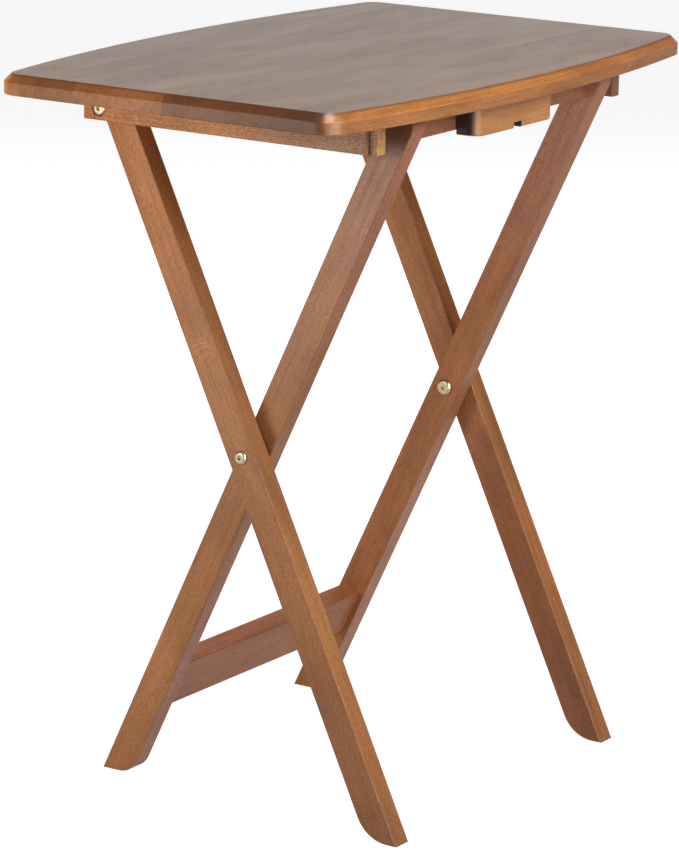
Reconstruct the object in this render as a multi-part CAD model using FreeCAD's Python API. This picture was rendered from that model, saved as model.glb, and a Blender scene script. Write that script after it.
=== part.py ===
import FreeCAD, Part
import math
import os
from FreeCAD import Vector

# Folding tray table. Millimetres, +Z up, origin on the floor under the middle of the tabletop.
# +X runs along the long side of the top, -Y is the catch side, where the block stops the inner legs.

# Tabletop
TOP_LENGTH = 585.0
TOP_SHORT_SIDE = 348.0
TOP_BOW = 28.0
TOP_HEIGHT = 660.0
TOP_THICK = 18.0
TOP_CORNER_R = 22.0
TOP_BEVEL = 7.0
TOP_LOWER_ROUND = 1.2
UNDERSIDE = TOP_HEIGHT - TOP_THICK

# Leg frames: each X lies in a plane of constant X
LEG_WIDE = 29.0
LEG_THICK = 20.8
LEG_LEAN = 25.1
CROSS_Y = -13.0
CROSS_Z = 326.0
OUTER_LEG_FACE = 187.8
LAYER_GAP = 1.2
INNER_LEG_FACE = OUTER_LEG_FACE - LEG_THICK - LAYER_GAP
FRAME_HALF = INNER_LEG_FACE - LEG_THICK
OUTER_FOOT_ROUND = 34.0
INNER_FOOT_ROUND = 22.0
INNER_TOP_GAP = 0.8
INNER_TOP_FRONT_R = 9.0
INNER_TOP_BACK_R = 5.0
LEG_EDGE_ROUND = 1.2

# Pivot between the outer legs and the cleats
PIVOT_Y = 131.0
PIVOT_Z = 622.3

# Cleats
CLEAT_THICK = 15.6
CLEAT_FACE = OUTER_LEG_FACE + LAYER_GAP + CLEAT_THICK
CLEAT_TALL = 30.0
CLEAT_FRONT_Y = -159.0
CLEAT_BACK_Y = 147.0
CLEAT_STEP_LONG = 9.0
CLEAT_STEP_DEEP = 3.0
CLEAT_EDGE_ROUND = 1.0

# Top rail and lower stretcher, between the inner legs
RAIL_FRONT_Y = -157.0
RAIL_THICK = 13.0
RAIL_LOW_Z = 617.0
RAIL_HIGH_Z = 640.0
STRETCHER_WIDE = 48.0
STRETCHER_THICK = 18.0
STRETCHER_BELOW_CROSS = 261.0
BAR_EDGE_ROUND = 1.0
DOWEL_R = 4.0
DOWEL_FIT = 0.03
DOWEL_HALF_LONG = 15.0
DOWEL_SPACING = 24.0

# Catch block
BLOCK_MIDDLE_X = -12.0
BLOCK_LONG = 128.0
BLOCK_THICK = 23.0
BLOCK_BACK_Y = -158.0
BLOCK_LOW_Z = 613.0
BLOCK_CORNER_R = 13.0
BLOCK_EDGE_ROUND = 2.0
SLOT_WIDE = 13.0
SLOT_TALL = 5.5

# Pivot hardware
BARREL_R = 4.5
BARREL_RUNNING_FIT = 0.06
BARREL_TIGHT_FIT = 0.02
SHANK_R = 3.0
SHANK_FIT = 0.02
HEAD_R = 6.2
HEAD_TALL = 3.0
HEAD_ROUND = 2.4
HEX_SIDES = 6
HEX_FLATS = 4.0
HEX_DEEP = 2.2
DOME_R = 7.6
DOME_TALL = 3.0
DOME_ROUND = 2.5
SUNK_FLANGE_R = 7.0
SUNK_FLANGE_TALL = 1.6
SUNK_DEEP = 2.0
KEY_SLOT_LONG = 8.0
KEY_SLOT_WIDE = 1.2
KEY_SLOT_DEEP = 0.8
SLEEVE_END = 4.0
CROSS_BOLT_SHORT = 4.0
TOP_BOLT_SHORT = 8.0
SUNK_R = 7.4
CLEAT_COUNTERBORE_R = 6.9
CLEAT_COUNTERBORE_DEEP = 2.6
WASHER_R = 8.0
WASHER_THICK = 0.8
FACE_CLEAR = 0.4

# Wood screws
SCREW_R = 2.0
SCREW_HEAD_R = 3.8
SCREW_HEAD_TALL = 2.6
SCREW_FIT = 0.02
SCREW_BITE = 11.0
SCREW_POINT_LONG = 2.0
SCREW_POINT_R = 0.4
CROSS_RECESS_LONG = 4.8
CROSS_RECESS_WIDE = 0.9
CROSS_RECESS_DEEP = 1.2
CLEAT_SCREW_YS = [-120.0, -10.0, 88.0]
BLOCK_SCREW_XS = [-36.0, 36.0]

# Working allowances
NUDGE = 0.5
SAME_SPOT = 0.01
SAME_WAY = 0.999
X_AXIS = Vector(1, 0, 0)
Y_AXIS = Vector(0, 1, 0)
Z_AXIS = Vector(0, 0, 1)

os.makedirs("parts", exist_ok=True)


def save(name, shape):
    shape.exportStep("parts/" + name + ".step")


def mirrored(shape):
    """The same piece on the other side of the middle plane."""
    return shape.mirror(Vector(0, 0, 0), X_AXIS)


def save_pair(name, left_shape):
    """Write a left piece and its mirror image."""
    save("left_" + name, left_shape)
    save("right_" + name, mirrored(left_shape))


def box(x0, x1, y0, y1, z0, z1):
    return Part.makeBox(x1 - x0, y1 - y0, z1 - z0, Vector(x0, y0, z0))


def rod_x(radius, x0, x1, y, z):
    """A round bar along X from x0 to x1."""
    return Part.makeCylinder(radius, x1 - x0, Vector(x0, y, z), X_AXIS)


def plate_x(points, x0, x1):
    """A flat plate with an outline in Y and Z, from x0 to x1."""
    corners = [Vector(x0, y, z) for y, z in points]
    outline = Part.makePolygon(corners + [corners[0]])
    return Part.Face(outline).extrude(Vector(x1 - x0, 0, 0))


def edges_where(shape, test):
    return [edge for edge in shape.Edges if test(edge)]


def middle(edge):
    return edge.valueAt((edge.FirstParameter + edge.LastParameter) / 2)


def is_straight_along(edge, axis):
    if edge.Curve.TypeId != "Part::GeomLine":
        return False
    along = edge.tangentAt(edge.FirstParameter)
    return abs(along.dot(axis)) > SAME_WAY


def soften(shape, radius, test):
    """Round every edge that passes the test."""
    return shape.makeFillet(radius, edges_where(shape, test))


def round_corner(shape, radius, y, z):
    """Round the one edge along X that passes through y, z."""

    def here(edge):
        if not is_straight_along(edge, X_AXIS):
            return False
        spot = middle(edge)
        return math.hypot(spot.y - y, spot.z - z) < SAME_SPOT

    return soften(shape, radius, here)


def leg_point(lean_sign, along, across):
    """Y and Z of a point on a leg, from the crossing: along the leg upwards, across it towards -Y."""
    lean = math.radians(LEG_LEAN)
    y = CROSS_Y - lean_sign * along * math.sin(lean) - across * math.cos(lean)
    z = CROSS_Z + along * math.cos(lean) - lean_sign * across * math.sin(lean)
    return y, z


def y_on_leg(lean_sign, across, z):
    """Y of the leg line that lies this far across, at height z."""
    lean = math.radians(LEG_LEAN)
    along = (z - CROSS_Z + lean_sign * across * math.sin(lean)) / math.cos(lean)
    return leg_point(lean_sign, along, across)[0]


def leg_edges_to_soften(x_low, x_high):
    """Edges of the leg's side faces, for a light rounding all round."""

    def on_side_face(edge):
        spot = middle(edge)
        on_face = min(abs(spot.x - x_low), abs(spot.x - x_high)) < SAME_SPOT
        return on_face and spot.z > NUDGE

    return on_side_face


# Tabletop ------------------------------------------------------------------------------------

half_long = TOP_LENGTH / 2
half_short = TOP_SHORT_SIDE / 2
front_left = Vector(-half_long, -half_short, UNDERSIDE)
front_right = Vector(half_long, -half_short, UNDERSIDE)
back_right = Vector(half_long, half_short, UNDERSIDE)
back_left = Vector(-half_long, half_short, UNDERSIDE)
front_bow = Part.Arc(front_left, Vector(0, -half_short - TOP_BOW, UNDERSIDE), front_right).toShape()
back_bow = Part.Arc(back_right, Vector(0, half_short + TOP_BOW, UNDERSIDE), back_left).toShape()
right_side = Part.makeLine(front_right, back_right)
left_side = Part.makeLine(back_left, front_left)
top_outline = Part.Wire([front_bow, right_side, back_bow, left_side])
tabletop = Part.Face(top_outline).extrude(Vector(0, 0, TOP_THICK))
tabletop = soften(tabletop, TOP_CORNER_R, lambda edge: is_straight_along(edge, Z_AXIS))
top_rim = edges_where(tabletop, lambda edge: middle(edge).z > TOP_HEIGHT - NUDGE)
tabletop = tabletop.makeChamfer(TOP_BEVEL, top_rim)
tabletop = soften(tabletop, TOP_LOWER_ROUND, lambda edge: middle(edge).z < UNDERSIDE + NUDGE)


# Wood screws, heads down, driven up into the top ------------------------------------------------

def wood_screw(x, y, head_z):
    """A countersunk screw that ends inside the tabletop."""
    tip_z = UNDERSIDE + SCREW_BITE
    point_z = tip_z - SCREW_POINT_LONG
    half_long = CROSS_RECESS_LONG / 2
    half_wide = CROSS_RECESS_WIDE / 2
    recess_low = head_z - NUDGE
    recess_top = head_z + CROSS_RECESS_DEEP
    shank = Part.makeCylinder(SCREW_R, point_z - head_z, Vector(x, y, head_z), Z_AXIS)
    point = Part.makeCone(SCREW_R, SCREW_POINT_R, SCREW_POINT_LONG, Vector(x, y, point_z), Z_AXIS)
    head = Part.makeCone(SCREW_HEAD_R, SCREW_R, SCREW_HEAD_TALL, Vector(x, y, head_z), Z_AXIS)
    cross_long = box(x - half_long, x + half_long, y - half_wide, y + half_wide, recess_low, recess_top)
    cross_wide = box(x - half_wide, x + half_wide, y - half_long, y + half_long, recess_low, recess_top)
    return shank.fuse([point, head]).removeSplitter().cut([cross_long, cross_wide])


def screw_hole(x, y, head_z):
    """The hole that a wood screw fills, a hair wider than the screw."""
    depth = UNDERSIDE + SCREW_BITE + SCREW_FIT - head_z
    shank = Part.makeCylinder(SCREW_R + SCREW_FIT, depth, Vector(x, y, head_z), Z_AXIS)
    low = Vector(x, y, head_z - SCREW_FIT)
    sink_deep = SCREW_HEAD_TALL + 2 * SCREW_FIT
    sink = Part.makeCone(SCREW_HEAD_R + 2 * SCREW_FIT, SCREW_R, sink_deep, low, Z_AXIS)
    return shank.fuse(sink)


cleat_low_z = UNDERSIDE - CLEAT_TALL
cleat_screw_x = -CLEAT_FACE + CLEAT_THICK / 2
cleat_screws = [wood_screw(cleat_screw_x, y, cleat_low_z) for y in CLEAT_SCREW_YS]
cleat_screw_holes = [screw_hole(cleat_screw_x, y, cleat_low_z) for y in CLEAT_SCREW_YS]
block_screw_y = BLOCK_BACK_Y - BLOCK_THICK / 2
block_screw_spots = [BLOCK_MIDDLE_X + x for x in BLOCK_SCREW_XS]
block_screws = [wood_screw(x, block_screw_y, BLOCK_LOW_Z) for x in block_screw_spots]
block_screw_holes = [screw_hole(x, block_screw_y, BLOCK_LOW_Z) for x in block_screw_spots]
right_screw_holes = [mirrored(hole) for hole in cleat_screw_holes]
tabletop = tabletop.cut(cleat_screw_holes + right_screw_holes + block_screw_holes)


# Left cleat ------------------------------------------------------------------------------------

cleat = box(-CLEAT_FACE, -CLEAT_FACE + CLEAT_THICK, CLEAT_FRONT_Y, CLEAT_BACK_Y, cleat_low_z, UNDERSIDE)
cleat_step = box(-CLEAT_FACE - NUDGE, -CLEAT_FACE + CLEAT_STEP_DEEP,
                 CLEAT_FRONT_Y - NUDGE, CLEAT_FRONT_Y + CLEAT_STEP_LONG,
                 cleat_low_z - NUDGE, UNDERSIDE + NUDGE)
cleat = cleat.cut(cleat_step)
cleat = soften(cleat, CLEAT_EDGE_ROUND,
               lambda edge: is_straight_along(edge, Y_AXIS) and middle(edge).z < cleat_low_z + NUDGE)
cleat_bore = rod_x(BARREL_R + BARREL_RUNNING_FIT, -CLEAT_FACE - NUDGE, -CLEAT_FACE + CLEAT_THICK + NUDGE,
                   PIVOT_Y, PIVOT_Z)
cleat_counterbore = rod_x(CLEAT_COUNTERBORE_R, -CLEAT_FACE - NUDGE,
                          -CLEAT_FACE + CLEAT_COUNTERBORE_DEEP, PIVOT_Y, PIVOT_Z)
cleat = cleat.cut([cleat_bore, cleat_counterbore] + cleat_screw_holes)


# Catch block -----------------------------------------------------------------------------------

block_x0 = BLOCK_MIDDLE_X - BLOCK_LONG / 2
block_x1 = BLOCK_MIDDLE_X + BLOCK_LONG / 2
block_front_y = BLOCK_BACK_Y - BLOCK_THICK
block = box(block_x0, block_x1, block_front_y, BLOCK_BACK_Y, BLOCK_LOW_Z, UNDERSIDE)
block = soften(block, BLOCK_CORNER_R,
               lambda edge: is_straight_along(edge, Z_AXIS) and middle(edge).y < block_front_y + NUDGE)
block = soften(block, BLOCK_EDGE_ROUND,
               lambda edge: middle(edge).z < BLOCK_LOW_Z + NUDGE and middle(edge).y < BLOCK_BACK_Y - NUDGE)
slot = box(BLOCK_MIDDLE_X - SLOT_WIDE / 2, BLOCK_MIDDLE_X + SLOT_WIDE / 2,
           block_front_y - NUDGE, BLOCK_BACK_Y + NUDGE, BLOCK_LOW_Z - NUDGE, BLOCK_LOW_Z + SLOT_TALL)
block = block.cut([slot] + block_screw_holes)


# Left outer leg: leans away from the catch side as it rises ---------------------------------------

outer_in = -OUTER_LEG_FACE + LEG_THICK
half_wide = LEG_WIDE / 2
pivot_up = (PIVOT_Z - CROSS_Z) * math.cos(math.radians(LEG_LEAN))
pivot_along = pivot_up + (PIVOT_Y - CROSS_Y) * math.sin(math.radians(LEG_LEAN))
end_y, end_z = leg_point(-1, pivot_along, 0)
outer_shoulders = [leg_point(-1, pivot_along, half_wide), leg_point(-1, pivot_along, -half_wide)]
outer_foot_front = (y_on_leg(-1, half_wide, 0), 0)
outer_foot_back = (y_on_leg(-1, -half_wide, 0), 0)
outer_leg = plate_x([outer_foot_front] + outer_shoulders + [outer_foot_back], -OUTER_LEG_FACE, outer_in)
outer_leg = round_corner(outer_leg, OUTER_FOOT_ROUND, outer_foot_back[0], 0)
outer_leg = outer_leg.fuse(rod_x(half_wide, -OUTER_LEG_FACE, outer_in, end_y, end_z)).removeSplitter()
outer_leg = soften(outer_leg, LEG_EDGE_ROUND, leg_edges_to_soften(-OUTER_LEG_FACE, outer_in))
barrel_stop = -OUTER_LEG_FACE + SLEEVE_END
outer_cross_bore = rod_x(BARREL_R + BARREL_TIGHT_FIT, barrel_stop, outer_in + NUDGE, CROSS_Y, CROSS_Z)
outer_cross_shank = rod_x(SHANK_R + SHANK_FIT, -OUTER_LEG_FACE - NUDGE, barrel_stop + NUDGE,
                          CROSS_Y, CROSS_Z)
outer_pivot_bore = rod_x(BARREL_R + BARREL_TIGHT_FIT, -OUTER_LEG_FACE - NUDGE, outer_in + NUDGE,
                         PIVOT_Y, PIVOT_Z)
outer_pivot_sink = rod_x(SUNK_R, outer_in - SUNK_DEEP, outer_in + NUDGE, PIVOT_Y, PIVOT_Z)
outer_leg = outer_leg.cut([outer_cross_bore, outer_cross_shank, outer_pivot_bore, outer_pivot_sink])


# Left inner leg: leans towards the catch side as it rises -------------------------------------------

inner_out = -INNER_LEG_FACE
inner_in = -FRAME_HALF
inner_top_z = UNDERSIDE - INNER_TOP_GAP
inner_top_front = (y_on_leg(1, half_wide, inner_top_z), inner_top_z)
inner_top_back = (y_on_leg(1, -half_wide, inner_top_z), inner_top_z)
inner_foot_front = (y_on_leg(1, half_wide, 0), 0)
inner_foot_back = (y_on_leg(1, -half_wide, 0), 0)
inner_outline = [inner_top_front, inner_top_back, inner_foot_back, inner_foot_front]
inner_leg = plate_x(inner_outline, inner_out, inner_in)
inner_leg = round_corner(inner_leg, INNER_FOOT_ROUND, inner_foot_front[0], 0)
inner_leg = round_corner(inner_leg, INNER_TOP_FRONT_R, inner_top_front[0], inner_top_z)
inner_leg = round_corner(inner_leg, INNER_TOP_BACK_R, inner_top_back[0], inner_top_z)
inner_leg = soften(inner_leg, LEG_EDGE_ROUND, leg_edges_to_soften(inner_out, inner_in))
inner_cross_bore = rod_x(BARREL_R + BARREL_RUNNING_FIT, inner_out - NUDGE, inner_in + NUDGE,
                         CROSS_Y, CROSS_Z)


# Dowels that join the two bars to the inner legs -----------------------------------------------------

rail_middle_y = RAIL_FRONT_Y + RAIL_THICK / 2
rail_middle_z = (RAIL_LOW_Z + RAIL_HIGH_Z) / 2
dowel_spots_low = []
for offset in (-DOWEL_SPACING / 2, DOWEL_SPACING / 2):
    dowel_spots_low.append(leg_point(1, -STRETCHER_BELOW_CROSS + offset, 0))


def dowels(spots, radius):
    """Dowels at the left and the right end of a bar, half in the bar and half in the leg."""
    pegs = []
    for y, z in spots:
        left_peg = rod_x(radius, inner_in - DOWEL_HALF_LONG, inner_in + DOWEL_HALF_LONG, y, z)
        pegs.append(left_peg)
        pegs.append(mirrored(left_peg))
    return pegs


rail_dowels = dowels([(rail_middle_y, rail_middle_z)], DOWEL_R)
rail_dowel_holes = dowels([(rail_middle_y, rail_middle_z)], DOWEL_R + DOWEL_FIT)
stretcher_dowels = dowels(dowel_spots_low, DOWEL_R)
stretcher_dowel_holes = dowels(dowel_spots_low, DOWEL_R + DOWEL_FIT)
inner_leg = inner_leg.cut([inner_cross_bore] + rail_dowel_holes + stretcher_dowel_holes)


# Top rail and lower stretcher -------------------------------------------------------------------------

rail = box(-FRAME_HALF, FRAME_HALF, RAIL_FRONT_Y, RAIL_FRONT_Y + RAIL_THICK, RAIL_LOW_Z, RAIL_HIGH_Z)
rail = soften(rail, BAR_EDGE_ROUND, lambda edge: is_straight_along(edge, X_AXIS))
rail = rail.cut(rail_dowel_holes)
stretcher_corners = []
for along, across in ((-1, -1), (-1, 1), (1, 1), (1, -1)):
    reach = -STRETCHER_BELOW_CROSS + along * STRETCHER_WIDE / 2
    stretcher_corners.append(leg_point(1, reach, across * STRETCHER_THICK / 2))
stretcher = plate_x(stretcher_corners, -FRAME_HALF, FRAME_HALF)
stretcher = soften(stretcher, BAR_EDGE_ROUND, lambda edge: is_straight_along(edge, X_AXIS))
stretcher = stretcher.cut(stretcher_dowel_holes)


# Pivot hardware, left side ------------------------------------------------------------------------------

def hex_socket(x0, x1, y, z):
    """A hexagonal bar along X, to cut a key socket."""
    corner_r = HEX_FLATS / math.sqrt(3)
    points = []
    for step in range(HEX_SIDES):
        turn = 2 * math.pi * step / HEX_SIDES
        points.append((y + corner_r * math.cos(turn), z + corner_r * math.sin(turn)))
    return plate_x(points, x0, x1)


def socket_bolt(face_x, tip_x, y, z):
    """A bolt whose round head sits on face_x and points towards -X; its shank runs to tip_x."""
    head = rod_x(HEAD_R, face_x - HEAD_TALL, face_x, y, z)
    head = soften(head, HEAD_ROUND, lambda edge: middle(edge).x < face_x - HEAD_TALL + NUDGE)
    shank = rod_x(SHANK_R, face_x - NUDGE, tip_x, y, z)
    socket = hex_socket(face_x - HEAD_TALL - NUDGE, face_x - HEAD_TALL + HEX_DEEP, y, z)
    return head.fuse(shank).removeSplitter().cut(socket)


def sleeve(barrel_x, flange_x, y, z):
    """The round barrel of a sleeve nut, with its threaded hole."""
    barrel = rod_x(BARREL_R, barrel_x, flange_x, y, z)
    hole = rod_x(SHANK_R + SHANK_FIT, barrel_x - NUDGE, flange_x - SLEEVE_END, y, z)
    return barrel, hole


def domed_nut(barrel_x, face_x, y, z):
    """A sleeve nut with a domed head that stands on face_x and points towards +X."""
    barrel, hole = sleeve(barrel_x, face_x + NUDGE, y, z)
    dome = rod_x(DOME_R, face_x, face_x + DOME_TALL, y, z)
    dome = soften(dome, DOME_ROUND, lambda edge: middle(edge).x > face_x + DOME_TALL - NUDGE)
    socket = hex_socket(face_x + DOME_TALL - HEX_DEEP, face_x + DOME_TALL + NUDGE, y, z)
    return barrel.fuse(dome).removeSplitter().cut([hole, socket])


def sunk_nut(barrel_x, face_x, y, z):
    """A sleeve nut whose thin flange lies in a sink below face_x."""
    barrel, hole = sleeve(barrel_x, face_x - SUNK_DEEP + NUDGE, y, z)
    flange = rod_x(SUNK_FLANGE_R, face_x - SUNK_DEEP, face_x - SUNK_DEEP + SUNK_FLANGE_TALL, y, z)
    slot_floor = face_x - SUNK_DEEP + SUNK_FLANGE_TALL - KEY_SLOT_DEEP
    half_long = KEY_SLOT_LONG / 2
    half_wide = KEY_SLOT_WIDE / 2
    key_slot = box(slot_floor, face_x, y - half_long, y + half_long, z - half_wide, z + half_wide)
    return barrel.fuse(flange).removeSplitter().cut([hole, key_slot])


def washer(x0, y, z):
    """A flat washer on the barrel, from x0 towards +X."""
    disc = rod_x(WASHER_R, x0, x0 + WASHER_THICK, y, z)
    return disc.cut(rod_x(BARREL_R + BARREL_TIGHT_FIT, x0 - NUDGE, x0 + WASHER_THICK + NUDGE, y, z))


cross_bolt = socket_bolt(-OUTER_LEG_FACE, inner_out + CROSS_BOLT_SHORT, CROSS_Y, CROSS_Z)
cross_nut = domed_nut(barrel_stop + FACE_CLEAR, inner_in + FACE_CLEAR, CROSS_Y, CROSS_Z)
cross_washer = washer(outer_in, CROSS_Y, CROSS_Z)
top_bolt_face = -CLEAT_FACE + CLEAT_COUNTERBORE_DEEP - FACE_CLEAR
top_bolt = socket_bolt(top_bolt_face, outer_in - TOP_BOLT_SHORT, PIVOT_Y, PIVOT_Z)
top_nut = sunk_nut(top_bolt_face + FACE_CLEAR, outer_in, PIVOT_Y, PIVOT_Z)
top_washer = washer(-OUTER_LEG_FACE - WASHER_THICK, PIVOT_Y, PIVOT_Z)


# Files --------------------------------------------------------------------------------------------------

save("tabletop", tabletop)
save_pair("cleat", cleat)
save("catch_block", block)
save_pair("cleat_screws", Part.makeCompound(cleat_screws))
save("catch_block_screws", Part.makeCompound(block_screws))
save_pair("outer_leg", outer_leg)
save_pair("inner_leg", inner_leg)
save("top_rail", rail)
save("lower_stretcher", stretcher)
save("top_rail_dowels", Part.makeCompound(rail_dowels))
save("lower_stretcher_dowels", Part.makeCompound(stretcher_dowels))
save_pair("cross_bolt", cross_bolt)
save_pair("cross_nut", cross_nut)
save_pair("cross_washer", cross_washer)
save_pair("top_pivot_bolt", top_bolt)
save_pair("top_pivot_nut", top_nut)
save_pair("top_pivot_washer", top_washer)
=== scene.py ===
from collections import namedtuple
import math
from types import SimpleNamespace

import bpy
from mathutils import Matrix, Vector


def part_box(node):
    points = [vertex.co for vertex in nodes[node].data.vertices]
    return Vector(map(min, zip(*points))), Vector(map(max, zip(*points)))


# Looks of the folding tray table. Metres, +Z up, origin on the floor under the middle of the top.
# Every visible piece is its CAD node with a procedural material: wood or plated steel.

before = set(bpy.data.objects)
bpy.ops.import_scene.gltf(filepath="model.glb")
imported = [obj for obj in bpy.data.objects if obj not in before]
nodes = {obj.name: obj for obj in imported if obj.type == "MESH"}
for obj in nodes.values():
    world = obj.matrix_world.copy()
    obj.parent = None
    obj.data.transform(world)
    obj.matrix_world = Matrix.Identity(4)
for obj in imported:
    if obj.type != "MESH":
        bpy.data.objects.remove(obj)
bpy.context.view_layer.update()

# Camera ------------------------------------------------------------------------------------------

CAMERA_PLACE = Vector((-2.9622, -1.9664, 1.2058))
CAMERA_YAW = 33.70
CAMERA_PITCH = 14.06
CAMERA_ROLL = 0.85
CAMERA_LENS = 169.06
SENSOR_WIDTH = 36.0
CLIP_NEAR = 0.1
CLIP_FAR = 200


def make_camera():
    """A long lens from the front left, a little above the table."""
    yaw, pitch, roll = (math.radians(angle) for angle in (CAMERA_YAW, CAMERA_PITCH, CAMERA_ROLL))
    look = Vector((math.cos(yaw) * math.cos(pitch), math.sin(yaw) * math.cos(pitch), -math.sin(pitch)))
    level_right = Vector((math.sin(yaw), -math.cos(yaw), 0))
    level_up = level_right.cross(look)
    right = level_right * math.cos(roll) + level_up * math.sin(roll)
    up = right.cross(look)
    data = bpy.data.cameras.new("camera")
    data.lens = CAMERA_LENS
    data.sensor_width = SENSOR_WIDTH
    data.clip_start = CLIP_NEAR
    data.clip_end = CLIP_FAR
    camera = bpy.data.objects.new("camera", data)
    turn = Matrix((right, up, -look)).transposed().to_4x4()
    camera.matrix_world = Matrix.Translation(CAMERA_PLACE) @ turn
    bpy.context.scene.collection.objects.link(camera)
    bpy.context.scene.camera = camera


# Node helpers ------------------------------------------------------------------------------------

# A pattern of noise: how often it repeats in a metre along X, Y and Z, how fine it is, and the stretch
# of its values that goes from unseen to full.
Pattern = namedtuple("Pattern", "repeats detail roughness low high", defaults=(2.0, 0.5, 0.0, 1.0))


def rgb(red, green, blue):
    return (red, green, blue, 1.0)


def grey(level):
    return rgb(level, level, level)


# The Mix node's sockets, many of which share a name: its share, and A and B for numbers and for colours
MIX_SHARE = 0
MIX_NUMBERS = (2, 3)
MIX_COLOURS = (6, 7)
# The directions that faces are compared with, and what takes the height out of one
X_AXIS = (1, 0, 0)
Y_AXIS = (0, 1, 0)
Z_AXIS = (0, 0, 1)
NO_HEIGHT = (1, 1, 0)


class Graph:
    """Adds nodes to one node tree with short calls."""

    def __init__(self, tree):
        self.tree = tree
        tree.nodes.clear()

    def node(self, kind, inputs=None, **settings):
        made = self.tree.nodes.new(kind)
        for name, value in settings.items():
            setattr(made, name, value)
        for name, value in (inputs or {}).items():
            self.feed(made.inputs[name], value)
        return made

    def feed(self, socket, value):
        if isinstance(value, bpy.types.NodeSocket):
            self.tree.links.new(value, socket)
        else:
            socket.default_value = value

    def math(self, operation, *values):
        made = self.node("ShaderNodeMath", operation=operation)
        for socket, value in zip(made.inputs, values):
            self.feed(socket, value)
        return made.outputs[0]

    def product(self, first, *others):
        for other in others:
            first = self.math("MULTIPLY", first, other)
        return first

    def added(self, value, factor, start):
        """The start plus a factor times the value."""
        return self.math("MULTIPLY_ADD", value, factor, start)

    def rest(self, share):
        """What is left of one."""
        return self.math("SUBTRACT", 1.0, share)

    def vector(self, operation, *values):
        made = self.node("ShaderNodeVectorMath", operation=operation)
        for socket, value in zip(made.inputs, values):
            self.feed(socket, value)
        return made.outputs["Value"] if operation in ("DOT_PRODUCT", "LENGTH") else made.outputs[0]

    def along(self, direction, vector):
        """How much of a vector lies along a direction."""
        return self.vector("DOT_PRODUCT", vector, direction)

    def either_way(self, direction, vector):
        """How much of a vector lies along a direction or its opposite."""
        return self.math("ABSOLUTE", self.along(direction, vector))

    def split(self, vector):
        return self.node("ShaderNodeSeparateXYZ", {"Vector": vector}).outputs

    def mix(self, share, a, b, blend="MIX"):
        first, second = MIX_COLOURS
        made = self.node("ShaderNodeMix", {MIX_SHARE: share}, data_type="RGBA", blend_type=blend)
        self.feed(made.inputs[first], a)
        self.feed(made.inputs[second], b)
        return made.outputs[2]

    def mix_numbers(self, share, a, b):
        first, second = MIX_NUMBERS
        made = self.node("ShaderNodeMix", {MIX_SHARE: share, first: a, second: b}, data_type="FLOAT")
        return made.outputs[0]

    def times(self, colour, filter_colour):
        return self.mix(1.0, colour, filter_colour, "MULTIPLY")

    def tint(self, share, colour, filter_colour):
        """The colour, seen through a filter where the share is high."""
        return self.mix(share, colour, self.times(colour, filter_colour))

    def remap(self, value, low, high, to_low=0.0, to_high=1.0, smooth=True):
        made = self.node("ShaderNodeMapRange", {
            "Value": value, "From Min": low, "From Max": high, "To Min": to_low, "To Max": to_high},
            interpolation_type="SMOOTHSTEP" if smooth else "LINEAR")
        return made.outputs[0]

    def noise(self, place, pattern):
        return self.node("ShaderNodeTexNoise", {
            "Vector": self.vector("MULTIPLY", place, pattern.repeats), "Scale": 1.0,
            "Detail": pattern.detail, "Roughness": pattern.roughness}).outputs[0]

    def shown(self, value, pattern):
        """How far a pattern shows where its noise has this value."""
        return self.remap(value, pattern.low, pattern.high)

    def vary(self, colour, value, pattern, swing):
        """The colour, darker and lighter by the swing as the pattern goes from unseen to full."""
        return self.times(colour, self.mix(self.shown(value, pattern), grey(1 - swing), grey(1 + swing)))

    def ramp(self, value, stops, blend):
        """A ramp of grey stops, each (place, level)."""
        made = self.node("ShaderNodeValToRGB", {"Fac": value})
        ramp = made.color_ramp
        ramp.interpolation = blend
        while len(ramp.elements) < len(stops):
            ramp.elements.new(1.0)
        # every place comes before the first colour, because a moved element may change its rank
        for element, (place, _) in zip(ramp.elements, stops):
            element.position = place
        for element, (_, level) in zip(ramp.elements, stops):
            element.color = grey(level)
        return made.outputs[0]

    def shader_mix(self, share, a, b):
        return self.node("ShaderNodeMixShader", {0: share, 1: a, 2: b}).outputs[0]


def new_material(name):
    material = bpy.data.materials.new(name)
    material.use_nodes = True
    return material, Graph(material.node_tree)


def give(node_name, material):
    """Put one material on a CAD node."""
    for slot in nodes[node_name].material_slots:
        slot.material = material


# Wood grain --------------------------------------------------------------------------------------

# A direction of grain: the turn that brings it upright, and the direction itself
Grain = namedtuple("Grain", "turn axis")
LEG_LEAN = math.radians(25.1)
ALONG_X = Grain((0, math.radians(-90), 0), X_AXIS)
ALONG_Y = Grain((math.radians(90), 0, 0), Y_AXIS)
ALONG_OUTER_LEG = Grain((LEG_LEAN, 0, 0), (0, math.sin(LEG_LEAN), math.cos(LEG_LEAN)))
ALONG_INNER_LEG = Grain((-LEG_LEAN, 0, 0), (0, -math.sin(LEG_LEAN), math.cos(LEG_LEAN)))

# How far apart in the tree pieces with neighbouring seeds are cut, and the boards of a glued panel
# for a full step of tone
SEED_STEP = (0.37, 0.23, 1.31)
BOARD_STEP = (0.31, 0.17, 3.7)

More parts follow.
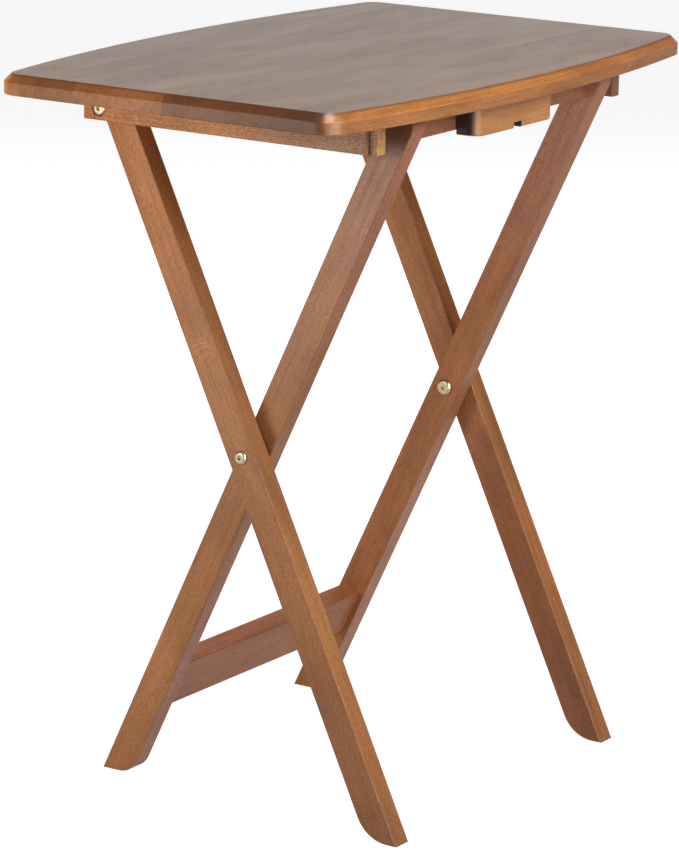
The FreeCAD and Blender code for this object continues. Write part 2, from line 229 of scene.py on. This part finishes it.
# Patterns of the grain, the third direction being along it
SWAY = Pattern((9, 9, 2.2))
FIBRES = Pattern((1100, 1100, 30), 3, 0.65, 0.3, 0.7)
STREAKS = Pattern((210, 210, 7), 3, 0.6, 0.45, 0.75)
PORES = Pattern((1700, 1700, 330), 1.5, 0.5, 0.68, 0.82)
PORE_CLUSTERS = Pattern((45, 45, 12))
PATCHES = Pattern((34, 34, 13), 2, 0.5, 0.3, 0.7)
FLECKS = Pattern((900, 900, 260), 2.5, 0.6, 0.3, 0.7)
BLOTCHES = Pattern((26, 26, 6), 3, 0.55, 0.35, 0.66)
CLOUDS = Pattern((8, 8, 3.3), 2, 0.5, 0.42, 0.68)
WEAR = Pattern((40, 40, 18), 2, 0.5, 0.25, 0.55)
RAYS = Pattern((60, 60, 420), 2, 0.5, 0.54, 0.64)

# How much clusters of pores add to the noise of single pores
CLUSTERING = 0.25

# Growth rings: noise along the distance from the middle of the tree, which sways and leans a little
RINGS_PER_METRE = 330
RING_DETAIL = 2.5
RING_ROUGHNESS = 0.6
RING_RANGE = (0.32, 0.72)
SWAY_WIDTH = 0.022
RING_LEAN = 0.035

# The seams of a glued panel: their width as a share of its depth, and the least step of tone
SEAM_WIDTH = 0.0022
SEAM_STEP = 0.02

# Where a face begins and fully counts, by how much of its normal lies along the grain (end grain),
# along X (a side), upward (a face that looks up, or a panel's sloped edge) or level (a panel's edge)
END_GRAIN_FULL = 0.97
SIDE_RANGE = (0.4, 0.8)
UP_RANGE = (0.85, 0.98)
SLOPE_RANGE = (0.35, 0.6)
LEVEL_RANGE = (0.3, 0.6)
# The same for an arris, by how far its rounded normal leaves the plain one
ARRIS_RANGE = (0.004, 0.09)
BEVEL_SAMPLES = 4


def ring_pattern(graph, grain_place, look, seed):
    """Growth rings round the middle of the tree, which lies beside the piece."""
    sway = graph.added(graph.noise(grain_place, SWAY), SWAY_WIDTH, -SWAY_WIDTH / 2)
    x, y, z = graph.split(grain_place)
    across = graph.math("ADD", graph.math("ADD", x, look.pith[0] - seed * SEED_STEP[0]), sway)
    deep = graph.math("ADD", graph.added(z, RING_LEAN, y), look.pith[1] - seed * SEED_STEP[1])
    radial = graph.node("ShaderNodeCombineXYZ", {"X": across, "Y": deep}).outputs[0]
    radius = graph.vector("LENGTH", radial)
    rings = graph.node("ShaderNodeTexNoise", {
        "W": graph.math("MULTIPLY", radius, RINGS_PER_METRE), "Detail": RING_DETAIL,
        "Roughness": RING_ROUGHNESS}, noise_dimensions="1D").outputs[0]
    return graph.remap(rings, *RING_RANGE)


def board_steps(graph, across, look):
    """The tone of each board of a glued panel from 0 to 1, and the thin seams between them."""
    share = graph.remap(across, *look.board_span, smooth=False)
    tone = graph.ramp(share, look.boards, "CONSTANT")
    next_tone = graph.ramp(graph.math("ADD", share, SEAM_WIDTH), look.boards, "CONSTANT")
    step = graph.math("ABSOLUTE", graph.math("SUBTRACT", tone, next_tone))
    return tone, graph.math("GREATER_THAN", step, SEAM_STEP)


def side_above(graph, normal):
    """The normal, level, so that the sloped edge of a panel counts as the side above which it lies."""
    level = graph.vector("MULTIPLY", normal, NO_HEIGHT)
    steep = graph.remap(graph.vector("LENGTH", level), *LEVEL_RANGE)
    return graph.vector("MULTIPLY", graph.vector("NORMALIZE", level), steep)


def read_surface(graph, grain, look, seed):
    """The patterns and directions that the stain and the varnish are made from."""
    place = graph.node("ShaderNodeTexCoord").outputs
    shift = tuple(seed * step for step in SEED_STEP)
    surface = SimpleNamespace(place=place["Object"], normal=place["Normal"])
    surface.x, surface.y, surface.z = graph.split(surface.place)
    surface.grain_place = graph.node("ShaderNodeMapping", {
        "Vector": surface.place, "Rotation": grain.turn, "Location": shift}).outputs[0]
    outward = surface.normal
    if look.boards:
        outward = side_above(graph, outward)
        surface.board_tone, surface.seam = board_steps(graph, surface.y, look)
        board_shift = graph.vector("MULTIPLY", surface.board_tone, BOARD_STEP)
        surface.grain_place = graph.vector("ADD", surface.grain_place, board_shift)
    surface.end_grain = graph.remap(graph.either_way(grain.axis, outward), look.end_from, END_GRAIN_FULL)
    surface.sideways = graph.remap(graph.either_way(X_AXIS, surface.normal), *SIDE_RANGE)
    surface.upward = graph.remap(graph.along(Z_AXIS, surface.normal), *UP_RANGE)
    surface.rings = ring_pattern(graph, surface.grain_place, look, seed)
    surface.fibres = graph.noise(surface.grain_place, FIBRES)
    surface.streaks = graph.noise(surface.grain_place, STREAKS)
    clusters = graph.noise(surface.grain_place, PORE_CLUSTERS)
    pores = graph.added(clusters, CLUSTERING, graph.noise(surface.grain_place, PORES))
    surface.pores = graph.shown(pores, PORES)
    surface.blotches = graph.noise(surface.grain_place, BLOTCHES)
    surface.soft_normal = graph.node("ShaderNodeBevel", {
        "Radius": look.round_off}, samples=BEVEL_SAMPLES).outputs[0]
    plain_normal = graph.node("ShaderNodeNewGeometry").outputs["Normal"]
    surface.arris = graph.remap(graph.rest(graph.along(plain_normal, surface.soft_normal)), *ARRIS_RANGE)
    return surface


# Wood colour -------------------------------------------------------------------------------------

GREY_TAN = rgb(0.43, 0.235, 0.125)
PORE_TONE = rgb(0.12, 0.048, 0.020)
FIBRE_SWING = 0.12

# Stained boards: levels from the darkest to the palest, on the face and on end grain
BOARD_FACE_LEVELS = (0.93, 1.05)
BOARD_END_LEVELS = (0.45, 1.75)
SEAM_SHARE = 0.22
# Filters of painted light and shade on the edges of the panel: the short sloped edge darker, the bowed
# sloped edge lighter, the upright bowed edge darker
SHORT_SLOPE_PAINTED_SHADE = rgb(0.90, 0.83, 0.84)
BOWED_SLOPE_PAINTED_LIGHT = rgb(1.20, 1.13, 0.98)
BOWED_BAND_PAINTED_SHADE = rgb(0.96, 0.91, 0.86)

# Ray marks: how far from the middle of their patch they begin and are full
RAY_PATCH = (0.012, 0.004)
RAY_TONE = rgb(0.80, 0.48, 0.25)
RAY_SHARE = 0.5

# The thin dark line below an upper rim: how far below it the line begins and is full
RIM_TONE = rgb(0.14, 0.05, 0.022)
RIM_BEGINS = 0.0024
RIM_FULL = 0.0008
RIM_SHARE = 0.5
ARRIS_DARK_TONE = rgb(0.16, 0.055, 0.022)
# more than one, because stain that is rubbed thin is paler than its surroundings, and because the pale
# line also paints the highlight that a rounded arris catches
ARRIS_WEAR_AND_HIGHLIGHT_TONE = rgb(1.85, 1.85, 1.75)

# A change of colour along an axis, from none at one place to its share of full at another, on the
# faces that look along X ("sides") or on the others ("edges"). Some paint light and shade, as said where
# they are used. Its border is ragged.
Fade = namedtuple("Fade", "axis none full tone share faces")
EVERYWHERE = (-1, -0.5)
RAGGED_MOST = 0.12
RAGGED_SHARE = 2
MIDDLE = 0.5


def fade_stain_and_light(graph, surface, colour, fades):
    """Colour that is lighter or darker along a piece; some of it is painted light and shade."""
    for fade in fades:
        ragged = min(RAGGED_MOST, abs(fade.full - fade.none) * RAGGED_SHARE)
        wobble = graph.math("SUBTRACT", surface.blotches, MIDDLE)
        place = graph.added(wobble, ragged, getattr(surface, fade.axis))
        faces = surface.sideways if fade.faces == "sides" else graph.rest(surface.sideways)
        share = graph.product(graph.remap(place, fade.none, fade.full), faces, fade.share)
        colour = graph.mix(share, colour, fade.tone)
    return colour


def grain_stain(graph, surface, colour, look, dark):
    """Rings, streaks, fibres and pores. Faces that look up are sanded finer, so theirs are quieter, and
    their colour takes a filter of painted shade and painted sheen.
    """
    lively = graph.added(surface.upward, -look.calm, 1.0)
    colour = graph.mix(graph.product(surface.rings, lively, look.rings), colour, dark)
    streaks = graph.shown(surface.streaks, STREAKS)
    colour = graph.mix(graph.product(streaks, lively, look.streaks), colour, dark)
    # painted shade and sheen: faces that look up are darkened and tinted bluish
    colour = graph.tint(surface.upward, colour, look.calm_tone)
    colour = graph.vary(colour, surface.fibres, FIBRES, FIBRE_SWING)
    colour = graph.vary(colour, graph.noise(surface.grain_place, PATCHES), PATCHES, look.patches)
    colour = graph.vary(colour, graph.noise(surface.grain_place, FLECKS), FLECKS, look.flecks)
    return graph.mix(graph.product(surface.pores, look.pores), colour, PORE_TONE)


def board_stain_and_edge_light(graph, surface, colour, dark):
    """Each board's own tone, most of all on its end grain, and painted light and shade on the panel's
    edges.
    """
    face = graph.remap(surface.board_tone, 0.0, 1.0, *BOARD_FACE_LEVELS, smooth=False)
    end = graph.remap(surface.board_tone, 0.0, 1.0, *BOARD_END_LEVELS, smooth=False)
    level = graph.mix_numbers(surface.end_grain, face, end)
    level = graph.node("ShaderNodeCombineColor", {"Red": level, "Green": level, "Blue": level}).outputs[0]
    colour = graph.mix(graph.product(surface.seam, SEAM_SHARE), graph.times(colour, level), dark)
    long_side = graph.rest(surface.end_grain)
    sloped = graph.remap(graph.along(Z_AXIS, surface.normal), *SLOPE_RANGE)
    slope = graph.product(sloped, graph.rest(surface.upward))
    upright = graph.product(graph.rest(slope), graph.rest(surface.upward), long_side)
    # painted light and shade: each kind of edge face is made lighter or darker as light falls on it
    colour = graph.tint(graph.product(slope, surface.end_grain), colour, SHORT_SLOPE_PAINTED_SHADE)
    colour = graph.tint(graph.product(slope, long_side), colour, BOWED_SLOPE_PAINTED_LIGHT)
    return graph.tint(upright, colour, BOWED_BAND_PAINTED_SHADE)


def ray_marks(graph, surface, colour, middle):
    """A few pale ray marks across the grain, in one small patch."""
    distance = graph.vector("LENGTH", graph.vector("SUBTRACT", surface.place, middle))
    lines = graph.shown(graph.noise(surface.grain_place, RAYS), RAYS)
    return graph.mix(graph.product(lines, graph.remap(distance, *RAY_PATCH), RAY_SHARE), colour, RAY_TONE)


def arris_stain_and_highlight(graph, surface, colour, look):
    """Arrises where the stain is rubbed thin or has gathered, the rubbed ones also brightened as a painted
    highlight. A dark rim isn't rubbed.
    """
    rubbed_and_highlit = graph.product(surface.arris, graph.shown(graph.noise(surface.grain_place, WEAR), WEAR))
    if look.dark_rim:
        upper = graph.remap(surface.z, look.dark_rim - RIM_BEGINS, look.dark_rim - RIM_FULL)
        colour = graph.mix(graph.product(upper, graph.rest(surface.upward), RIM_SHARE), colour, RIM_TONE)
        rubbed_and_highlit = graph.product(rubbed_and_highlit, graph.rest(upper))
    # wear and painted highlight: the rubbed arrises are paler than the stain alone would make them
    colour = graph.tint(graph.product(rubbed_and_highlit, look.arris_light), colour, ARRIS_WEAR_AND_HIGHLIGHT_TONE)
    return graph.mix(graph.product(surface.arris, look.arris_dark), colour, ARRIS_DARK_TONE)


# Varnish: how much rougher or smoother each pattern makes it, and how high or deep it feels
ROUGHER_FIBRES = 0.08
ROUGHER_PORES = 0.15
SMOOTHER_BLOTCHES = -0.10
ROUGHNESS_SHIFT = 0.01
FIBRE_HEIGHT = 0.35
STREAK_HEIGHT = 0.25
PORE_HEIGHT = -0.6


def varnish(graph, surface, colour, look):
    """A satin coat over open grain."""
    fibres = graph.shown(surface.fibres, FIBRES)
    rough = graph.added(fibres, ROUGHER_FIBRES, look.roughness + ROUGHNESS_SHIFT)
    rough = graph.added(surface.pores, ROUGHER_PORES, rough)
    rough = graph.added(surface.blotches, SMOOTHER_BLOTCHES, rough)
    height = graph.added(surface.pores, PORE_HEIGHT, graph.product(surface.fibres, FIBRE_HEIGHT))
    height = graph.added(surface.streaks, STREAK_HEIGHT, height)
    bump = graph.node("ShaderNodeBump", {
        "Height": height, "Strength": 0.35, "Distance": 0.00025, "Normal": surface.soft_normal}).outputs[0]
    shader = graph.node("ShaderNodeBsdfPrincipled", {
        "Base Color": colour, "Roughness": rough, "Normal": bump, "IOR": 1.5, "Coat Weight": look.gloss,
        "Coat Roughness": 0.17, "Coat IOR": 1.5, "Specular IOR Level": 0.5})
    graph.node("ShaderNodeOutputMaterial", {"Surface": shader.outputs[0]})


PLAIN_LOOK = {
    # how far the middle of the tree lies from the piece, across and deep
    "pith": (0.05, 0.03),
    # how strongly each pattern shows
    "rings": 0.45, "streaks": 0.4, "pores": 0.45, "flecks": 0.16, "clouds": 0.4, "patches": 0.09,
    # end grain drinks more stain
    "end_share": 0.45, "end_tone": rgb(0.30, 0.24, 0.20), "end_from": 0.55,
    # varnish and arrises
    "roughness": 0.42, "gloss": 0.12, "round_off": 0.0014, "arris_light": 0.0, "arris_dark": 0.0,
    # how much quieter the grain of faces that look up is, and a filter of painted shade and painted bluish
    # sheen on their colour
    "calm": 0.0, "calm_tone": grey(1),
    # what only some pieces have: glued boards, a patch of ray marks, an upper rim, changes of stain
    "boards": None, "board_span": None, "ray_marks": None, "dark_rim": None, "fades": ()}


def wood(name, grain, seed, light, mid, dark, **changes):
    """Stained and varnished wood with growth rings, fibres and pores."""
    look = SimpleNamespace(**{**PLAIN_LOOK, **changes})
    material, graph = new_material(name)
    surface = read_surface(graph, grain, look, seed)
    colour = graph.mix(graph.shown(surface.blotches, BLOTCHES), mid, light)
    clouds = graph.shown(graph.noise(surface.grain_place, CLOUDS), CLOUDS)
    colour = graph.mix(graph.product(clouds, look.clouds), colour, GREY_TAN)
    colour = fade_stain_and_light(graph, surface, colour, look.fades)
    colour = grain_stain(graph, surface, colour, look, dark)
    colour = graph.tint(graph.product(surface.end_grain, look.end_share), colour, look.end_tone)
    if look.boards:
        colour = board_stain_and_edge_light(graph, surface, colour, dark)
    if look.ray_marks:
        colour = ray_marks(graph, surface, colour, look.ray_marks)
    colour = arris_stain_and_highlight(graph, surface, colour, look)
    varnish(graph, surface, colour, look)
    return material


# Metal -------------------------------------------------------------------------------------------

TURNING = Pattern((9000, 1400, 1400))
DULL = Pattern((260, 260, 260), 3, 0.5, 0.35, 0.7)
DULL_ROUGH_RANGE = (0.3, 0.7)
DULL_TONE = rgb(0.90, 0.86, 0.78)
ROUGHER_DULL = 0.06
METAL_SEED_STEP = (1, 0.7, 1.3)


def metal(name, tint, roughness, seed):
    """Plated steel with fine turning marks and dull patches."""
    material, graph = new_material(name)
    place = graph.node("ShaderNodeTexCoord").outputs["Object"]
    place = graph.vector("ADD", place, tuple(seed * step for step in METAL_SEED_STEP))
    dull = graph.noise(place, DULL)
    colour = graph.mix(graph.shown(dull, DULL), tint, graph.times(tint, DULL_TONE))
    rough = graph.added(graph.remap(dull, *DULL_ROUGH_RANGE), ROUGHER_DULL, roughness)
    bump = graph.node("ShaderNodeBump", {
        "Height": graph.noise(place, TURNING), "Strength": 0.08, "Distance": 0.00003}).outputs[0]
    shader = graph.node("ShaderNodeBsdfPrincipled", {
        "Base Color": colour, "Roughness": rough, "Normal": bump, "Metallic": 1.0})
    graph.node("ShaderNodeOutputMaterial", {"Surface": shader.outputs[0]})
    return material


# Tabletop and what is under it -------------------------------------------------------------------

LIGHT = rgb(0.67, 0.264, 0.080)
MID = rgb(0.54, 0.198, 0.055)
DARK = rgb(0.27, 0.095, 0.028)
RED = rgb(0.50, 0.185, 0.070)
DEEP = rgb(0.41, 0.140, 0.048)
ASH = rgb(0.44, 0.260, 0.160)

# The boards of the top, from the catch side back: where each begins as a share of the depth, and its
# tone from 0 to 1
TOP_BOARDS = ((0.0, 0.10), (0.27, 0.18), (0.495, 0.66), (0.663, 0.50), (0.723, 0.30), (0.83, 0.48),
              (0.871, 0.58))


def dress_tabletop():
    lowest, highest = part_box("tabletop")
    give("tabletop", wood(
        "tabletop_wood", ALONG_X, 1.0, rgb(0.72, 0.300, 0.095), rgb(0.58, 0.220, 0.060), DARK,
        pith=(0.09, 0.04), end_share=0.55, end_from=0.86, boards=TOP_BOARDS,
        board_span=(lowest.y, highest.y), rings=0.6, streaks=0.5, pores=0.22, flecks=0.07, clouds=0.15,
        arris_light=0.9, dark_rim=highest.z, round_off=0.0015, roughness=0.40, gloss=0.13,
        # the faces that look up get a filter of painted shade and a painted bluish sheen
        calm=0.82, calm_tone=rgb(0.50, 0.60, 0.82)))


# The step in the catch end of the left cleat, and how far its borders are from its corners
CLEAT_STEP = 0.009
HAIR = 0.0002
STEP_SHADE = 0.0006
STEP_PALE = 0.0012
END_CORNER = 0.0015


def cleat_fades():
    """Greyer towards the catch end. The step's riser is darkened with painted shade, the tread grows paler
    towards the end as painted shading of a rounded face, and the end face is golden, partly its own tone
    and partly painted light.
    """
    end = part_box("left_cleat")[0].y
    step = end + CLEAT_STEP
    riser = (step + HAIR, step - STEP_SHADE)
    return (
        Fade("y", 0.02, -0.13, ASH, 0.7, "sides"),
        Fade("y", 0.115, 0.135, rgb(0.50, 0.175, 0.045), 0.7, "sides"),
        # painted shade: the shadow line of the step on the cleat's sides
        Fade("y", *riser, rgb(0.20, 0.075, 0.028), 0.95, "sides"),
        # painted light and shade: the tread grows paler from the step towards the end
        Fade("y", step - STEP_PALE, end + END_CORNER, rgb(0.62, 0.29, 0.14), 0.9, "sides"),
        # painted shade on the riser itself
        Fade("y", *riser, rgb(0.24, 0.085, 0.030), 0.8, "edges"),
        # the end face's golden tone: partly its own, partly painted light
        Fade("y", end + END_CORNER, end + HAIR, rgb(1.0, 0.52, 0.19), 0.95, "edges"))


def dress_cleats_and_block():
    give("left_cleat", wood(
        "left_cleat_wood", ALONG_Y, 2.0, rgb(0.74, 0.31, 0.085), rgb(0.62, 0.25, 0.070), DARK,
        pores=0.75, flecks=0.30, end_share=0.0, fades=cleat_fades(), gloss=0.05, clouds=0.15))
    give("right_cleat", wood("right_cleat_wood", ALONG_Y, 3.0, RED, DEEP, DARK, end_share=0.2))
    give("catch_block", wood(
        "catch_block_wood", ALONG_X, 4.0, rgb(0.72, 0.315, 0.102), rgb(0.60, 0.262, 0.090), DARK,
        rings=0.2, streaks=0.2, pores=0.25, flecks=0.10, clouds=0.2, gloss=0.04,
        # the end grain is near black: partly the end grain's own dark stain, partly painted shade of the
        # space under the top
        end_share=1.0, end_from=0.70, end_tone=rgb(0.05, 0.022, 0.018)))


# Legs and bars -----------------------------------------------------------------------------------

# The middle of the patch of ray marks on the outside of the left outer leg
RAY_MARKS_Y = 0.032
RAY_MARKS_Z = 0.418
# How far below the cleat the painted shade on the inner left leg's upper end begins
PAINTED_SHADE_REACH = 0.014


def dress_outer_legs():
    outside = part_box("left_outer_leg")[0].x
    give("left_outer_leg", wood(
        "left_outer_leg_wood", ALONG_OUTER_LEG, 5.0, LIGHT, MID, DARK, flecks=0.18, patches=0.12,
        arris_dark=0.3, ray_marks=(outside, RAY_MARKS_Y, RAY_MARKS_Z),
        # painted shade: the outside grows darker towards the foot, where less light reaches it
        fades=(Fade("z", 0.42, 0.05, rgb(0.40, 0.155, 0.062), 0.85, "sides"),)))
    give("right_outer_leg", wood(
        "right_outer_leg_wood", ALONG_OUTER_LEG, 6.0, rgb(0.50, 0.190, 0.058),
        rgb(0.41, 0.145, 0.040), DARK, streaks=0.5, clouds=0.1, patches=0.12,
        fades=(Fade("z", *EVERYWHERE, rgb(0.62, 0.240, 0.076), 0.85, "edges"),
               # painted shade: the sides grow darker towards the foot
               Fade("z", 0.36, 0.20, rgb(0.30, 0.100, 0.034), 0.8, "sides"))))


def dress_inner_legs():
    under_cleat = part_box("left_cleat")[0].z
    painted_shade_span = (under_cleat - PAINTED_SHADE_REACH, under_cleat)
    give("left_inner_leg", wood(
        "left_inner_leg_wood", ALONG_INNER_LEG, 7.0, LIGHT, MID, DARK, flecks=0.12, arris_dark=0.4,
        fades=(Fade("z", 0.33, 0.60, ASH, 0.75, "sides"),
               Fade("z", 0.30, 0.50, rgb(0.49, 0.165, 0.072), 0.85, "edges"),
               # painted shade: the leg's sides are darkened from just below the cleat up to its end, where
               # the top and the cleat shade them
               Fade("z", *painted_shade_span, rgb(0.13, 0.045, 0.020), 0.85, "sides"),
               # painted light: the edges grow paler towards the foot, where little light reaches them
               Fade("z", 0.34, 0.16, rgb(0.62, 0.29, 0.18), 0.85, "edges"))))
    give("right_inner_leg", wood(
        "right_inner_leg_wood", ALONG_INNER_LEG, 8.0, rgb(0.48, 0.170, 0.052),
        rgb(0.41, 0.140, 0.042), DARK, flecks=0.10, clouds=0.1, arris_dark=0.3,
        fades=(Fade("z", 0.42, 0.62, rgb(0.60, 0.27, 0.155), 0.85, "sides"),
               # painted light: the edges are paler all along
               Fade("z", *EVERYWHERE, rgb(0.54, 0.225, 0.115), 0.85, "edges"),
               # painted light: the edges grow paler towards the foot, where little light reaches them
               Fade("z", 0.34, 0.16, rgb(0.72, 0.35, 0.22), 0.85, "edges"))))


def dress_bars():
    give("top_rail", wood(
        "top_rail_wood", ALONG_X, 9.0, rgb(0.63, 0.218, 0.088), rgb(0.54, 0.177, 0.066), DARK,
        arris_dark=0.3))
    give("lower_stretcher", wood(
        "lower_stretcher_wood", ALONG_X, 10.0, rgb(0.58, 0.218, 0.094), rgb(0.49, 0.168, 0.068), DARK,
        pores=0.5, patches=0.05, arris_dark=0.5))
    for bar in ("top_rail", "lower_stretcher"):
        give(bar + "_dowels", wood(
            bar + "_dowel_wood", ALONG_X, 11.0, rgb(0.6, 0.42, 0.24), rgb(0.52, 0.35, 0.19),
            rgb(0.38, 0.23, 0.11), roughness=0.6))


# Bolts and screws --------------------------------------------------------------------------------

BOLT_TINT = rgb(0.90, 0.77, 0.56)
BOLT_ROUGHNESS = 0.24
SCREW_TINT = rgb(0.72, 0.70, 0.66)
SCREW_ROUGHNESS = 0.3
PIVOTS = ("cross", "top_pivot")
PIVOT_PARTS = ("bolt", "nut", "washer")


def dress_hardware():
    for side, bolt_seed, screw_seed in (("left", 1.0, 6.0), ("right", 2.0, 7.0)):
        bolt = metal(side + "_bolt_metal", BOLT_TINT, BOLT_ROUGHNESS, bolt_seed)
        for pivot in PIVOTS:
            for part in PIVOT_PARTS:
                give(f"{side}_{pivot}_{part}", bolt)
        screw = metal(side + "_screw_metal", SCREW_TINT, SCREW_ROUGHNESS, screw_seed)
        give(side + "_cleat_screws", screw)
    give("catch_block_screws", metal("block_screw_metal", SCREW_TINT, SCREW_ROUGHNESS, 12.0))


# Floor and light ---------------------------------------------------------------------------------

FLOOR_HALF = 60.0
FLOOR_CORNERS = ((-1, -1), (1, -1), (1, 1), (-1, 1))

# Grey of the studio round the table by the height of the view, from level to straight up
SWEEP = ((0.0, 1.0), (0.25, 0.70), (0.6, 0.35), (1.0, 0.25))


def make_floor():
    """A sheet of pale paper. It looks paler to the camera than it lights the table."""
    corners = [(x * FLOOR_HALF, y * FLOOR_HALF, 0) for x, y in FLOOR_CORNERS]
    mesh = bpy.data.meshes.new("floor")
    mesh.from_pydata(corners, [], [(0, 1, 2, 3)])
    floor = bpy.data.objects.new("floor", mesh)
    bpy.context.scene.collection.objects.link(floor)
    material, graph = new_material("floor_paper")
    seen = graph.node("ShaderNodeBsdfPrincipled", {
        "Base Color": grey(0.35), "Roughness": 0.9, "Specular IOR Level": 0.1,
        "Emission Color": grey(1), "Emission Strength": 0.90}).outputs[0]
    lights = graph.node("ShaderNodeBsdfDiffuse", {"Color": grey(0.62)}).outputs[0]
    shines = graph.node("ShaderNodeEmission", {"Color": rgb(1, 0.98, 0.96), "Strength": 0.5}).outputs[0]
    ray = graph.node("ShaderNodeLightPath").outputs
    unseen = graph.shader_mix(ray["Is Glossy Ray"], lights, shines)
    above = graph.shader_mix(ray["Is Camera Ray"], unseen, seen)
    # clear from below, so that the underside of the table can be looked at
    below = graph.node("ShaderNodeNewGeometry").outputs["Backfacing"]
    clear = graph.node("ShaderNodeBsdfTransparent").outputs[0]
    graph.node("ShaderNodeOutputMaterial", {"Surface": graph.shader_mix(below, above, clear)})
    mesh.materials.append(material)


def make_world():
    """A dim grey sweep all round, darker overhead, which the camera sees as pale."""
    world = bpy.data.worlds.new("studio")
    world.use_nodes = True
    bpy.context.scene.world = world
    graph = Graph(world.node_tree)
    high = graph.split(graph.node("ShaderNodeTexCoord").outputs["Generated"])["Z"]
    lights = graph.node("ShaderNodeBackground", {
        "Color": graph.ramp(high, SWEEP, "LINEAR"), "Strength": 0.12}).outputs[0]
    seen = graph.node("ShaderNodeBackground", {"Color": grey(0.93), "Strength": 1.0}).outputs[0]
    ray = graph.node("ShaderNodeLightPath").outputs
    graph.node("ShaderNodeOutputWorld", {"Surface": graph.shader_mix(ray["Is Camera Ray"], lights, seen)})


# A soft box: its middle, the point it faces, its size and watts. A glossy one shows in reflections,
# a diffuse one lights the matt part of a surface.
SoftBox = namedtuple("SoftBox", "name place aim wide tall watts diffuse glossy", defaults=(True, True))
SOFT_BOXES = (
    SoftBox("left_box", (-1.12, 0.78, 0.72), (-0.1, 0, 0.45), 0.4, 0.45, 8.8, glossy=False),
    SoftBox("left_card", (-1.15, 0.45, 0.48), (-0.2, -0.05, 0.60), 0.5, 0.6, 2.2, diffuse=False),
    SoftBox("corner_card", (-0.90, -1.40, 0.33), (-0.22, -0.19, 0.64), 1.2, 0.4, 13.0, diffuse=False),
    SoftBox("corner_sky", (-0.54, -0.39, 2.10), (-0.24, -0.19, 0.64), 0.6, 0.6, 13.0, diffuse=False),
    SoftBox("front_box", (-0.36, -1.65, 1.40), (0, -0.1, 0.55), 1.0, 1.0, 21.5),
    SoftBox("top_box", (-0.35, -1.1, 3.4), (-0.2, -0.1, 0.66), 0.5, 0.5, 18),
    SoftBox("back_fill", (0.9, 2.3, 0.55), (0, 0, 0.35), 1.2, 0.8, 17, glossy=False),
    SoftBox("right_fill", (2.4, 0.3, 0.55), (0, 0, 0.35), 1.2, 0.8, 17, glossy=False),
    SoftBox("back_board", (2.6, 1.75, 1.42), (0, 0, 0.62), 3.2, 1.5, 13.9))


def make_soft_box(box):
    data = bpy.data.lights.new(box.name, "AREA")
    data.shape = "RECTANGLE"
    data.size = box.wide
    data.size_y = box.tall
    data.energy = box.watts
    lamp = bpy.data.objects.new(box.name, data)
    lamp.location = box.place
    lamp.rotation_euler = (Vector(box.aim) - Vector(box.place)).to_track_quat("-Z", "Y").to_euler()
    lamp.visible_camera = False
    lamp.visible_glossy = box.glossy
    lamp.visible_diffuse = box.diffuse
    bpy.context.scene.collection.objects.link(lamp)


# Scene -------------------------------------------------------------------------------------------

dress_tabletop()
dress_cleats_and_block()
dress_outer_legs()
dress_inner_legs()
dress_bars()
dress_hardware()
make_camera()
make_floor()
make_world()
for box in SOFT_BOXES:
    make_soft_box(box)

bpy.context.scene.view_settings.view_transform = "Standard"
